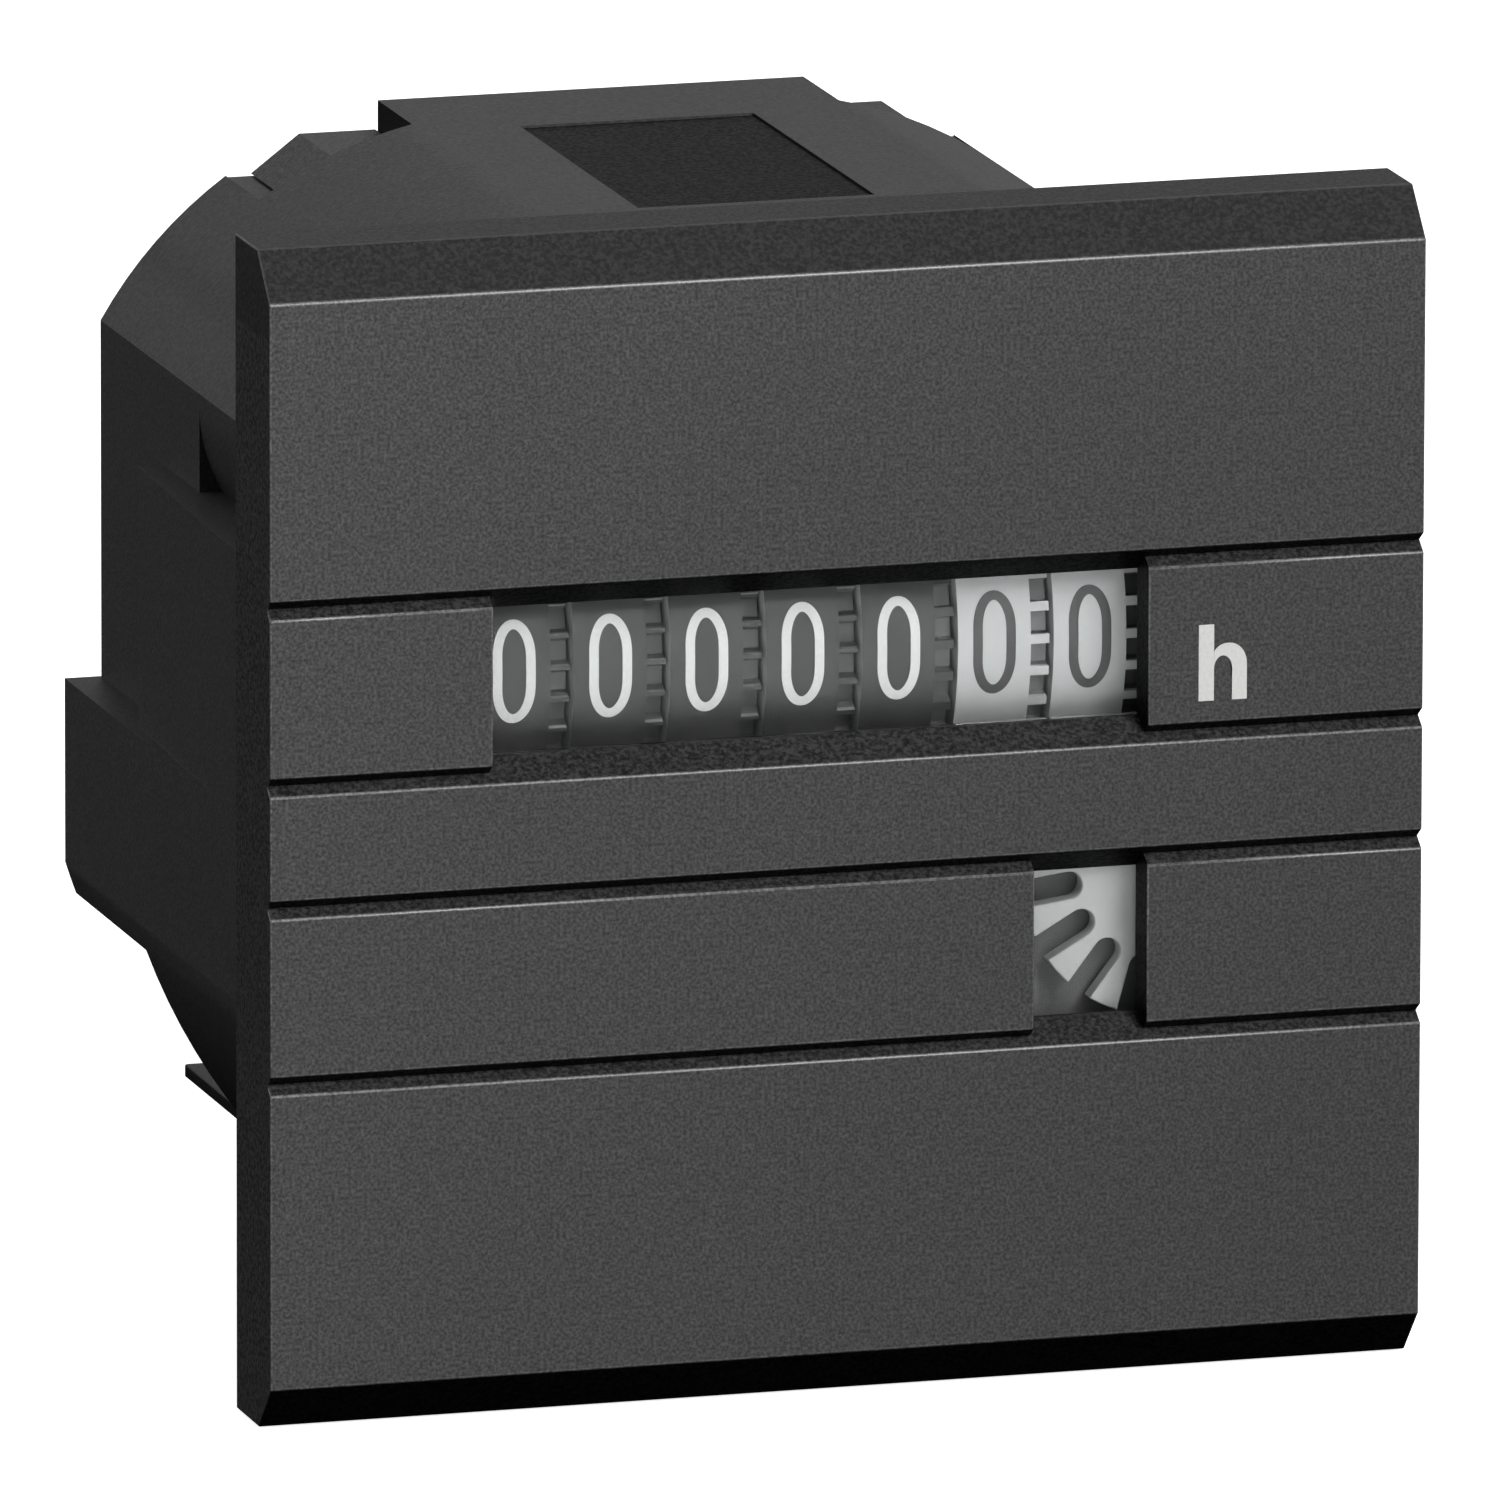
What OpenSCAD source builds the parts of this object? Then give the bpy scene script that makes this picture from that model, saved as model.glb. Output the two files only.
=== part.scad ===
// Flush panel hour counter: 48 mm square bezel, seven number wheels,
// a running indicator behind the lower window and a stepping motor drive.
// x runs to the right, y runs back into the panel, z runs up.
// y = 0 is the panel plane, the back of the bezel plate.

/* [Bezel plate] */
// side of the square front plate
plate_w = 48; // [47:0.5:50]
// thickness of the front plate
plate_t = 5.13; // [5:0.01:5.6]
// depth of the bevel along the top and bottom edges
bevel_y = 1.84; // [1:0.02:2.4]
// height of the same bevel
bevel_z = 1.92; // [1:0.02:2.4]
// width of the four grooves across the front
groove_w = 0.78; // [0.5:0.02:1]
// depth of the grooves
groove_d = 0.55; // [0.3:0.05:0.7]

/* [Windows] */
// height of the upper pair of grooves, outer one
groove_hi = 9.68; // [9.2:0.02:10]
// height of the upper pair of grooves, inner one
groove_lo = 2.49; // [2.2:0.01:2.8]
// left side of the register window
reg_x0 = -14.8; // [-15:0.1:-14.6]
// right side of both windows
win_x1 = 12.47; // [12.3:0.01:12.6]
// left side of the indicator window
ind_x0 = 7.74; // [7.4:0.02:8.2]

/* [Body] */
// depth behind the panel
body_d = 32; // [31:0.5:34]
// half width of the lower body
low_w = 22.35; // [22:0.05:22.4]
// half width of the upper body
up_w = 20.8; // [20.4:0.1:21]
// half height of the body
half_h = 22.35; // [22:0.05:22.4]
// wall thickness
wall = 1.5; // [1.4:0.1:1.6]

/* [Register] */
// distance from one number wheel to the next
pitch_x = 4; // [3.98:0.01:4.02]
// position of the middle wheel
mid_x = -1.16; // [-1.2:0.01:-1.1]
// height of the wheel shaft
reg_z = 5.97; // [5.9:0.01:6]
// radius of a number wheel
drum_r = 8.5; // [8.4:0.05:8.5]
// teeth on each wheel's driving ring
ring_n = 40; // [40:40:40]

/* [Running indicator] */
// arbor position across
hub_x = 14.05; // [14:0.01:14.1]
// arbor height
hub_z = -3.46; // [-3.5:0.01:-3.4]
// radius of the star wheel
star_r = 6.2; // [6:0.05:6.2]
// slots in the star wheel
star_n = 16; // [12:4:20]

/* [Terminals] */
// distance between the two blades
blade_gap = 16; // [15:0.5:17]
// blade width
blade_w = 6.3; // [6.3:0.1:6.4]
// blade thickness
blade_t = 0.8; // [0.7:0.05:0.85]

/* [Hidden] */
$fn = 64;
eps = 0.01;
front_y = -plate_t;
face_t = 1.6;                          // front wall thickness at the windows
cav_y = front_y + face_t;              // inner side of the front wall
split_z = -1;                          // where the wider lower body starts
low_cut_z = -10.03;                    // underside of the rear block
wall_y = 21.2;                         // rear wall of the lower body
seat = 0.4;                            // how far the body is let into the bezel
notch_y = 26.87;                       // front of the two upper notches
notch_x = 15.5;
block_x = 9.06;                        // half width of the flat top
gap_w = 0.8;                           // width of the toothed ring on a wheel
face_w = 3.04;                         // width of a numbered face
drum_y = front_y + 2.7 + drum_r;       // wheel shaft, depth
carry_d = 9.75;                        // wheel shaft to pinion shaft
ring_a = 0.6;                          // direction of one ring tooth, from the front upwards
carry_a = ring_a + 13.5 * 360 / ring_n; // direction of the pinion shaft
carry_y = drum_y - carry_d * cos(carry_a);
carry_z = reg_z + carry_d * sin(carry_a);
shaft_r = 0.75;
pin_r = 0.5;
run = 0.05;                            // running clearance on radius
star_y = cav_y + 0.55;
star_t = 0.8;
crown_x = drum_x(7) + face_w / 2 + gap_w + 0.15;
crown_x_axis = crown_x + 0.38 + 1.2 + 0.05;
plate1_y = 14.9;                       // front plate of the gear train
plate2_y = 18.8;                       // back plate of the gear train
plate_th = 0.7;
// arbor places, [x, z]
ind_p = [hub_x, hub_z];
crown_p = [crown_x_axis, reg_z];
mid_p = third_point(ind_p, crown_p, 6.05, 5.82);
rotor_p = [hub_x - 6.05, hub_z];
a_ind_mid = dir(ind_p, mid_p);
a_mid_crown = dir(mid_p, crown_p);
stator_y = 23.4;
coil_y = 24;
pcb_z = -14.4;

sill_y = 1.3;                          // depth of the bevel below a window
head_y = 1.5;                          // depth of the bevel above it
// half width of a groove's flanks at a depth behind the front face, negative past the bottom
function flank(y) = groove_w / 2 * (1 - y / groove_d);
function sill(z) = z - flank(sill_y);
function head(z) = z + flank(head_y);
function drum_x(k) = mid_x + pitch_x * (k - 4);
function dir(a, b) = atan2(b[1] - a[1], b[0] - a[0]);
// the point at distance p from a and q from b, on the left of a towards b
function third_point(a, b, p, q) =
    let (d = norm(b - a), u = (b - a) / d, s = (p * p - q * q + d * d) / (2 * d))
    a + s * u + sqrt(p * p - s * s) * [-u[1], u[0]];
// one tooth outline: half widths at root, pitch, middle of the tip part and tip
function tooth(rr, rp, rt, w) =
    [[rr, -w[0]], [rp, -w[1]], [(rp + rt) / 2, -w[2]], [rt, -w[3]],
     [rt, w[3]], [(rp + rt) / 2, w[2]], [rp, w[1]], [rr, w[0]]];
function toothed(n, rr, rp, rt, w) =
    [for (i = [0 : n - 1], p = tooth(rr, rp, rt, w))
        let (t = 360 * i / n + asin(p[1] / p[0])) p[0] * [cos(t), sin(t)]];

// a flat shape in x and z, from one depth to another
module slab(y0, y1) {
    translate([0, y1, 0]) rotate([90, 0, 0]) linear_extrude(y1 - y0) children();
}
// a flat shape in y and z, from one x to another
module xslab(x0, x1) {
    translate([x0, 0, 0]) rotate([90, 0, 90]) linear_extrude(x1 - x0) children();
}
module at(p) {
    translate([p[0], p[1]]) children();
}
module rod_y(p, r, y0, y1) {
    slab(y0, y1) at(p) circle(r, $fn = 32);
}
module rod_x(y, z, r, x0, x1) {
    xslab(x0, x1) translate([y, z]) circle(r, $fn = 32);
}
module both_sides() {
    children();
    mirror([1, 0, 0]) children();
}
module wheel_2d(n, m, a) {
    w = PI * m * 0.44 / 2;
    rp = n * m / 2;
    rotate(a) polygon(toothed(n, rp - 1.3 * m, rp, rp + 0.95 * m, w * [1.05, 1, 0.72, 0.25]));
}
module leaves_2d(n, m, a) {
    w = PI * m * 0.42 / 2;
    rp = n * m / 2;
    rotate(a) polygon(toothed(n, rp - 1.35 * m, rp, rp + 0.75 * m, w * [0.72, 1, 0.8, 0.35]));
}

// outline of the body, set in by t
module upper_2d(t, z0) {
    intersection() {
        union() {
            for (s = [-1, 1]) translate([5.3 * s, 4.8]) circle(17.95 - t, $fn = 128);
            translate([-block_x, 0]) square([2 * block_x, half_h - t]);
        }
        translate([-up_w + t, z0]) square([2 * (up_w - t), half_h - t - z0]);
    }
}
module lower_2d(t, z0, z1) {
    intersection() {
        translate([-3.5, -0.65]) circle(27.07 - t, $fn = 160);
        translate([3.5, -0.65]) circle(27.07 - t, $fn = 160);
        translate([-low_w + t, z0]) square([2 * (low_w - t), z1 - z0]);
    }
}
module body_2d(t = 0, z0 = -half_h) {
    upper_2d(t, split_z - t);
    lower_2d(t, z0 + (z0 == -half_h ? t : 0), split_z - t);
}

module front_bezel() {
    h = plate_w / 2;
    color("#3c3c3c") difference() {
        xslab(-h, h) difference() {
            polygon([[front_y, h - bevel_z], [front_y + bevel_y, h], [0, h],
                     [0, -h], [front_y + bevel_y, -h], [front_y, bevel_z - h]]);
            for (z = [groove_hi, groove_lo, -groove_lo, -groove_hi])
                polygon([[front_y - eps, z + flank(-eps)], [front_y + groove_d, z],
                         [front_y - eps, z - flank(-eps)]]);
        }
        window_cut(reg_x0, win_x1, groove_lo, groove_hi);
        window_cut(ind_x0, win_x1, -groove_hi, -groove_lo);
        // room for the star wheel and the register
        slab(cav_y, -1) square([42.4, 41.2], center = true);
        slab(-1 - eps, eps) body_2d(wall);
        slab(-seat, eps) seat_2d();
        // front bearing of the indicator arbor
        rod_y(ind_p, 0.3 + run, cav_y - 0.55, cav_y + eps);
    }
}
// posts that carry the movement
module chassis_posts() {
    color("#cfcfcf") for (p = post_at) difference() {
        slab(cav_y, plate1_y) at(p) circle(2, $fn = 6);
        rod_y(p, 1.02, plate1_y - 7, plate1_y + eps);
    }
}
post_at = [[-14.2, -6.2], [2.6, -6.2]];
// a window with bevels that run on from the grooves above and below it
module window_cut(x0, x1, z0, z1) {
    b = sill(z0);
    t = head(z1);
    xslab(x0, x1) polygon([[front_y - eps, z1 + flank(-eps)], [front_y + head_y, t], [cav_y + eps, t],
                           [cav_y + eps, b], [front_y + sill_y, b], [front_y - eps, z0 - flank(-eps)]]);
}
// dark screen behind the star wheel, clipped to the inside of the front wall
module indicator_screen() {
    color("#3a3a3a") union() {
        slab(-1.85, -1.35) polygon([[5.4, -10.7], [13.4, -10.7], [13.4, -4.9], [12.7, -4.9],
                                    [12.7, -3.1], [5.4, -3.1]]);
        slab(cav_y, -1.35) translate([5.4, -10.7]) square([0.5, 7.6]);
        slab(cav_y, -1.35) translate([5.4, -10.7]) square([7.4, 0.5]);
    }
}
// clear panes behind the front wall; the upper one ends at its sill to clear the star wheel
module lens(x0, x1, z0, z1, edge) {
    color("#dfe6e8", 0.3) translate([x0 - edge, cav_y, z0])
        cube([x1 - x0 + 2 * edge, 0.25, z1 + edge - z0]);
}
module register_lens() {
    lens(reg_x0, win_x1, sill(groove_lo), head(groove_hi), 0.8);
}
module indicator_lens() {
    lens(ind_x0, win_x1, sill(-groove_hi) - 0.5, head(-groove_lo), 0.5);
}

module housing() {
    bx = blade_gap / 2;
    color("#2b2b2b") difference() {
        union() {
            slab(-seat, body_d) body_2d();
            both_sides() side_pad();
        }
        slab(-seat - eps, wall_y - wall) body_2d(wall);
        slab(wall_y - wall - eps, body_d + eps) body_2d(wall, low_cut_z + wall);
        // open space for the terminals
        translate([-30, wall_y, -30]) cube([60, 20, 30 + low_cut_z]);
        for (s = [-1, 1])
            translate([s * bx - blade_w / 2 - 0.1, wall_y - wall - 1, -14 - blade_t / 2 - 0.1])
                cube([blade_w + 0.2, wall + 2, blade_t + 0.2]);
        // label field on the top
        translate([-4.95, 8.15, half_h - 0.18]) cube([9.9, 17.2, 1]);
        both_sides() translate([block_x, notch_y, 19.5]) cube([notch_x - block_x, 10, 5]);
        both_sides() clip_pocket();
    }
    // stand-offs with pegs for the circuit board
    color("#2b2b2b") for (x = [-12, 12], y = [3, 15]) translate([x, y, -half_h + wall - eps]) {
        cylinder(r = 1.3, h = half_h - wall + pcb_z - 1 + eps, $fn = 32);
        cylinder(r = 0.45, h = half_h - wall + pcb_z + 0.4, $fn = 24);
    }
}
// tapered rail on the side of the body
module side_pad() {
    translate([0, 0, split_z - eps]) linear_extrude(9.8 - split_z + eps)
        polygon([[up_w - 0.2, -seat], [low_w, -seat], [low_w, 8], [21.86, 22.4], [up_w - 0.2, 22.4]]);
}
// the body with its rails, as it sits in the back of the bezel
module seat_2d() {
    body_2d();
    translate([-low_w, split_z - eps]) square([2 * low_w, 9.8 - split_z + eps]);
}
// scoop above the rail where a mounting clip hooks in, running out upwards
module clip_pocket() {
    slab(1.5, 16.9) polygon([[up_w + 0.1, 9.8],
        for (i = [0 : 8]) [up_w - 0.9 * pow(1 - i / 8, 2), 9.8 + 3.5 * i / 8], [up_w + 0.1, 13.3]]);
}
module rear_cover() {
    c = 0.1;
    lug_z = 21.15;
    color("#343434") union() {
        slab(body_d - 1.8, body_d) body_2d(wall + c, low_cut_z + wall + c);
        both_sides() slab(notch_y + c, body_d) polygon([[block_x + c, 19.5 + c], [14.45, 19.5 + c],
            [12.4, lug_z], [block_x + c, lug_z]]);
    }
}
module terminal_shelf() {
    color("#2b2b2b") translate([-17.3, wall_y, -18.05]) cube([34.6, body_d - wall_y, 0.55]);
}
module terminal_left() { terminal(-1); }
module terminal_right() { terminal(1); }
module terminal(s) {
    x = s * blade_gap / 2;
    tip = body_d - 1;
    color("#d8d3c4") difference() {
        translate([x, 0, -14 - blade_t / 2]) linear_extrude(blade_t)
            polygon([[-blade_w / 2, 12], [blade_w / 2, 12], [blade_w / 2, tip - 1],
                     [blade_w / 2 - 0.9, tip], [0.9 - blade_w / 2, tip], [-blade_w / 2, tip - 1]]);
        translate([x, tip - 4, -16]) cylinder(r = 0.85, h = 4, $fn = 32);
    }
}

// half widths of the ring teeth: root, pitch, middle of the tip part, tip
thin_tooth = [0.24, 0.18, 0.12, 0.08];
wide_tooth = [0.23, 0.2, 0.19, 0.19];
// a numbered wheel: face, hub, toothed ring and the locking rim with its carry notch
module number_wheel(k, crown = false) {
    x = drum_x(k);
    x0 = x - face_w / 2;
    x1 = x + face_w / 2;
    rim_w = 0.55;
    color(k < 6 ? "#5a5a5a" : "#c9c9c5") difference() {
        union() {
            rod_xd(drum_r, x0, x1);
            xslab(x1 - eps, x1 + gap_w) translate([drum_y, reg_z]) rotate(180 - ring_a)
                polygon(toothed(ring_n, 7.9, 8.12, 8.42, k < 5 ? thin_tooth : wide_tooth));
            if (crown) crown_teeth();
        }
        difference() {
            rod_xd(7.4, x0 - eps, x1 - 1.2);
            rod_xd(1.9, x0 - 1, x1);
        }
        rod_xd(shaft_r + run, x0 - 1, x1 + 2);
        // carry notch, with two teeth left standing in it
        difference() {
            xslab(x0 - eps, x0 + rim_w) translate([drum_y, reg_z]) sector(7, 10, carry_a - 9, carry_a + 26);
            xslab(x0 - 1, x0 + 1) translate([drum_y, reg_z])
                for (da = [13.5, 22.5]) rotate(180 - carry_a - da)
                    translate([6.9, -0.2]) square([drum_r - 6.9, 0.4]);
        }
    }
}
module rod_xd(r, x0, x1) {
    xslab(x0, x1) translate([drum_y, reg_z]) circle(r, $fn = 120);
}
// ring sector between two directions, both counted from the front upwards
module sector(r0, r1, a0, a1) {
    polygon([for (a = [a0 : (a1 - a0) / 8 : a1 + 0.01]) r0 * [-cos(a), sin(a)],
             each [for (a = [a1 : (a0 - a1) / 8 : a0 - 0.01]) r1 * [-cos(a), sin(a)]]]);
}
// contrate teeth on the right of the lowest wheel, one gap facing the crown pinion
module crown_teeth() {
    n = 45;
    x0 = drum_x(7) + face_w / 2 + gap_w;
    for (i = [0 : n - 1]) translate([0, drum_y, reg_z]) rotate([(i + 0.5) * 360 / n, 0, 0])
        translate([0, 7.25, 0]) rotate([90, 0, 0]) linear_extrude(1.05)
            polygon([[x0 - 0.1, -0.22], [crown_x + 0.38, -0.19], [crown_x + 0.64, -0.08],
                     [crown_x + 0.64, 0.08], [crown_x + 0.38, 0.19], [x0 - 0.1, 0.22]]);
}
module number_wheel_1() { number_wheel(1); }
module number_wheel_2() { number_wheel(2); }
module number_wheel_3() { number_wheel(3); }
module number_wheel_4() { number_wheel(4); }
module number_wheel_5() { number_wheel(5); }
module number_wheel_6() { number_wheel(6); }
module number_wheel_7() { number_wheel(7, crown = true); }

// eight short leaves on the ring of wheel k, four long ones over the rim of the next wheel
module carry_pinion(k) {
    x0 = drum_x(k) + face_w / 2 + 0.2;
    color("#b8a98a") difference() {
        union() {
            xslab(x0, x0 + 0.62) translate([carry_y, carry_z]) rotate(-carry_a)
                polygon(toothed(8, 1.1, 1.62, 1.78, [0.2, 0.25, 0.2, 0.13]));
            xslab(x0 + 0.6, x0 + 1.12) translate([carry_y, carry_z]) rotate(45 - carry_a)
                polygon(toothed(4, 0.85, 1.15, 1.4, [0.3, 0.25, 0.2, 0.12]));
        }
        rod_x(carry_y, carry_z, pin_r + run, x0 - 1, x0 + 3);
    }
}
module carry_pinion_1() { carry_pinion(1); }
module carry_pinion_2() { carry_pinion(2); }
module carry_pinion_3() { carry_pinion(3); }
module carry_pinion_4() { carry_pinion(4); }
module carry_pinion_5() { carry_pinion(5); }
module carry_pinion_6() { carry_pinion(6); }

module wheel_shaft() {
    color("#c8c8c8") rod_x(drum_y, reg_z, shaft_r, -17.2, 16.2);
}
module pinion_shaft() {
    color("#c8c8c8") rod_x(carry_y, carry_z, pin_r, -17, 16);
}
module arm(x0, outline) {
    color("#9a8f78") xslab(x0, x0 + 0.8) difference() {
        polygon(outline);
        translate([drum_y, reg_z]) circle(shaft_r + 0.02, $fn = 32);
        translate([carry_y, carry_z]) circle(pin_r + 0.02, $fn = 32);
    }
}
module left_arm() {
    arm(-16.4, [[2.5, 2], [plate1_y, 2], [plate1_y, 15], [13, 16], [9, 16], [2.5, 8.5]]);
}
module right_arm() {
    arm(14.6, [[2.5, 2], [11.2, 2], [11.2, 9.4], [plate1_y, 9.4], [plate1_y, 15],
               [13, 16], [9, 16], [2.5, 8.5]]);
}

pillar_at = [[-13, 6], [-6, -6.2], [4.2, 7.5]];
module front_plate() {
    color("#b9a46a") slab(plate1_y, plate1_y + plate_th) difference() {
        polygon([[-17, -8.2], [18.8, -8.2], [18.8, 10], [15.4, 15.6], [-15.4, 15.6], [-17, 12]]);
        for (p = [ind_p, crown_p]) at(p) circle(0.5 + run, $fn = 32);
        for (p = [mid_p, rotor_p]) at(p) circle(0.3 + run, $fn = 32);
        for (p = post_at) at(p) circle(1.02, $fn = 32);
    }
}
module back_plate() {
    color("#b9a46a") slab(plate2_y, plate2_y + plate_th) difference() {
        polygon([[-16.5, -8.2], [18.6, -8.2], [18.6, 9], [-16.5, 9]]);
        for (p = [ind_p, crown_p, mid_p]) at(p) circle(0.3 + run, $fn = 32);
        at(rotor_p) circle(0.4 + run, $fn = 32);
        for (p = pillar_at) at(p) circle(0.82, $fn = 32);
    }
}
module plate_pillars() {
    color("#cfcfcf") for (p = pillar_at) difference() {
        rod_y(p, 1.3, plate1_y + plate_th, plate2_y);
        rod_y(p, 0.82, plate2_y - 2.2, plate2_y + eps);
    }
}
module screw(p, y, r, head_r, head_h, len) {
    difference() {
        union() {
            rod_y(p, head_r, y, y + head_h);
            rod_y(p, r, y - len, y + eps);
        }
        translate([p[0] - head_r, y + head_h - 0.35, p[1] - 0.2]) cube([2 * head_r, 1, 0.4]);
    }
}
module pillar_screws() {
    color("#dcdcdc") for (p = pillar_at) screw(p, plate2_y + plate_th, 0.8, 1.5, 0.8, 2.7);
}
module chassis_screws() {
    color("#dcdcdc") for (p = post_at)
        screw(p, plate1_y + plate_th, 1, 1.8, 1.1, 6);
}

module star_wheel() {
    color("#c9c9c5") slab(star_y, star_y + star_t) at(ind_p) difference() {
        circle(star_r, $fn = 96);
        for (i = [0 : star_n - 1]) rotate(232.3 + i * 360 / star_n) {
            translate([4.25, 0]) circle(0.56, $fn = 32);
            translate([4.25, -0.56]) square([4, 1.12]);
        }
        circle(0.5, $fn = 32);
    }
}
// three layers of gears sit between the plates, the first one at the front
function layer(i) = plate1_y + plate_th + 0.3 + 0.95 * i;
module indicator_arbor() {
    color("#c8b273") union() {
        rod_y(ind_p, 0.3, cav_y - 0.45, star_y + eps);
        rod_y(ind_p, 0.5, star_y, plate2_y - 0.1);
        rod_y(ind_p, 1.1, star_y + star_t, star_y + star_t + 0.8);
        rod_y(ind_p, 0.3, plate2_y - 0.2, plate2_y + plate_th - 0.1);
        slab(layer(2), layer(2) + 0.7) at(ind_p) wheel_2d(32, 0.3, 180 / 32);
        slab(layer(1) - 0.05, layer(1) + 0.75) at(ind_p) leaves_2d(8, 0.3, a_ind_mid);
    }
}
module middle_arbor() {
    color("#c8b273") union() {
        rod_y(mid_p, 0.5, plate1_y + plate_th + 0.1, plate2_y - 0.1);
        rod_y(mid_p, 0.3, plate1_y + 0.1, plate2_y + plate_th - 0.1);
        slab(layer(1), layer(1) + 0.7) at(mid_p) wheel_2d(32, 0.3, a_ind_mid + 180 + 180 / 32);
        slab(layer(0) - 0.05, layer(0) + 0.75) at(mid_p) leaves_2d(12, 0.32, a_mid_crown);
    }
}
module crown_arbor() {
    crown_y = drum_y + 6.72;
    color("#c8b273") union() {
        rod_y(crown_p, 0.5, crown_y - 0.55, plate2_y - 0.1);
        rod_y(crown_p, 0.3, plate2_y - 0.2, plate2_y + plate_th - 0.1);
        slab(layer(0), layer(0) + 0.7) at(crown_p) wheel_2d(24, 0.32, a_mid_crown + 180 + 180 / 24);
        slab(crown_y - 0.6, crown_y + 0.6) at(crown_p) leaves_2d(8, 0.3, 180);
    }
}
module rotor_arbor() {
    color("#d0d0d0") union() {
        rod_y(rotor_p, 0.3, plate1_y + 0.1, plate1_y + plate_th + 0.2);
        rod_y(rotor_p, 0.4, plate1_y + plate_th + 0.1, 26.5);
        rod_y(rotor_p, 0.3, 26.4, 27.2);
        slab(layer(2) - 0.05, layer(2) + 0.75) at(rotor_p) leaves_2d(8, 0.3, 0);
    }
}
module rotor_magnet() {
    color("#3a3a40") slab(22.9, 25.1) at(rotor_p) difference() {
        circle(2.3, $fn = 48);
        circle(0.4, $fn = 32);
    }
}
module stator() {
    color("#8d9196") slab(stator_y, stator_y + 1.2) difference() {
        union() {
            translate([3.6, -7.4]) square([9.8, 8.2]);
            translate([-12.6, -7.4]) square([3.4, 8.2]);
            translate([-12, hub_z - 1.3]) square([16, 2.6]);
        }
        at(rotor_p) circle(2.6, $fn = 48);
        for (p = motor_post_at) at(p) circle(1, $fn = 32);
    }
}
motor_post_at = [[-10.8, -5.8], [12.1, -6.2]];
module motor_posts() {
    color("#cfcfcf") for (p = motor_post_at) difference() {
        rod_y(p, 1.5, plate2_y + plate_th, stator_y);
        rod_y(p, 1, stator_y - 3, stator_y + eps);
    }
}
module motor_screws() {
    color("#dcdcdc") for (p = motor_post_at) screw(p, stator_y + 1.2, 0.95, 1.7, 1, 4);
}
module motor_bridge() {
    color("#b9a46a") difference() {
        union() {
            translate([3.7, 26.6, -4.45]) cube([8.5, 0.7, 2.2]);
            for (x = [3.7, 11.2]) translate([x, stator_y + 1.2, -4.45]) cube([1, 2.3, 2.2]);
        }
        rod_y(rotor_p, 0.3 + run, 26, 28);
    }
}
module coil_bobbin() {
    color("#d9d4c8") difference() {
        union() {
            for (x = [-8.9, 2.8]) rod_x(coil_y, hub_z, 3.6, x, x + 0.6);
            translate([-8.6, coil_y - 1.1, hub_z - 1.75]) cube([11.7, 2.2, 3.5]);
        }
        translate([-10, coil_y - 0.65, hub_z - 1.35]) cube([15, 1.3, 2.7]);
    }
}
module coil_winding() {
    color("#a8572c") difference() {
        rod_x(coil_y, hub_z, 3.2, -8.25, 2.75);
        translate([-10, coil_y - 1.15, hub_z - 1.8]) cube([15, 2.3, 3.6]);
    }
}
module circuit_board() {
    color("#2f5a3a") difference() {
        translate([-16, 0.5, pcb_z - 1]) cube([32, 17, 1]);
        for (x = [-12, 12], y = [3, 15]) translate([x, y, pcb_z - 2]) cylinder(r = 0.5, h = 3, $fn = 24);
    }
}
module quartz_crystal() {
    color("#c9c9c9") translate([-12, 7, pcb_z + 1.05]) rotate([0, 90, 0]) cylinder(r = 1.05, h = 6, $fn = 32);
}
module driver_chip() {
    color("#222222") translate([-2.4, 5, pcb_z]) cube([5, 4, 1.6]);
}
module reservoir_capacitor() {
    color("#39405a") translate([9.5, 7.5, pcb_z]) cylinder(r = 2.5, h = 4.2, $fn = 48);
}
module dropper_resistors() {
    color("#c7b48c") for (x = [-1.6, 1.6]) translate([x, 10.6, pcb_z + 0.85])
        rotate([-90, 0, 0]) cylinder(r = 0.85, h = 5.5, $fn = 32);
}

front_bezel();
register_lens();
indicator_lens();
housing();
rear_cover();
indicator_screen();
terminal_shelf();
terminal_left();
terminal_right();
number_wheel_1();
number_wheel_2();
number_wheel_3();
number_wheel_4();
number_wheel_5();
number_wheel_6();
number_wheel_7();
carry_pinion_1();
carry_pinion_2();
carry_pinion_3();
carry_pinion_4();
carry_pinion_5();
carry_pinion_6();
wheel_shaft();
pinion_shaft();
left_arm();
right_arm();
front_plate();
back_plate();
plate_pillars();
pillar_screws();
chassis_posts();
chassis_screws();
star_wheel();
indicator_arbor();
middle_arbor();
crown_arbor();
rotor_arbor();
rotor_magnet();
stator();
motor_posts();
motor_screws();
motor_bridge();
coil_bobbin();
coil_winding();
circuit_board();
quartz_crystal();
driver_chip();
reservoir_capacitor();
dropper_resistors();
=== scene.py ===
import bpy, bmesh, math
from mathutils import Matrix, Vector


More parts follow.
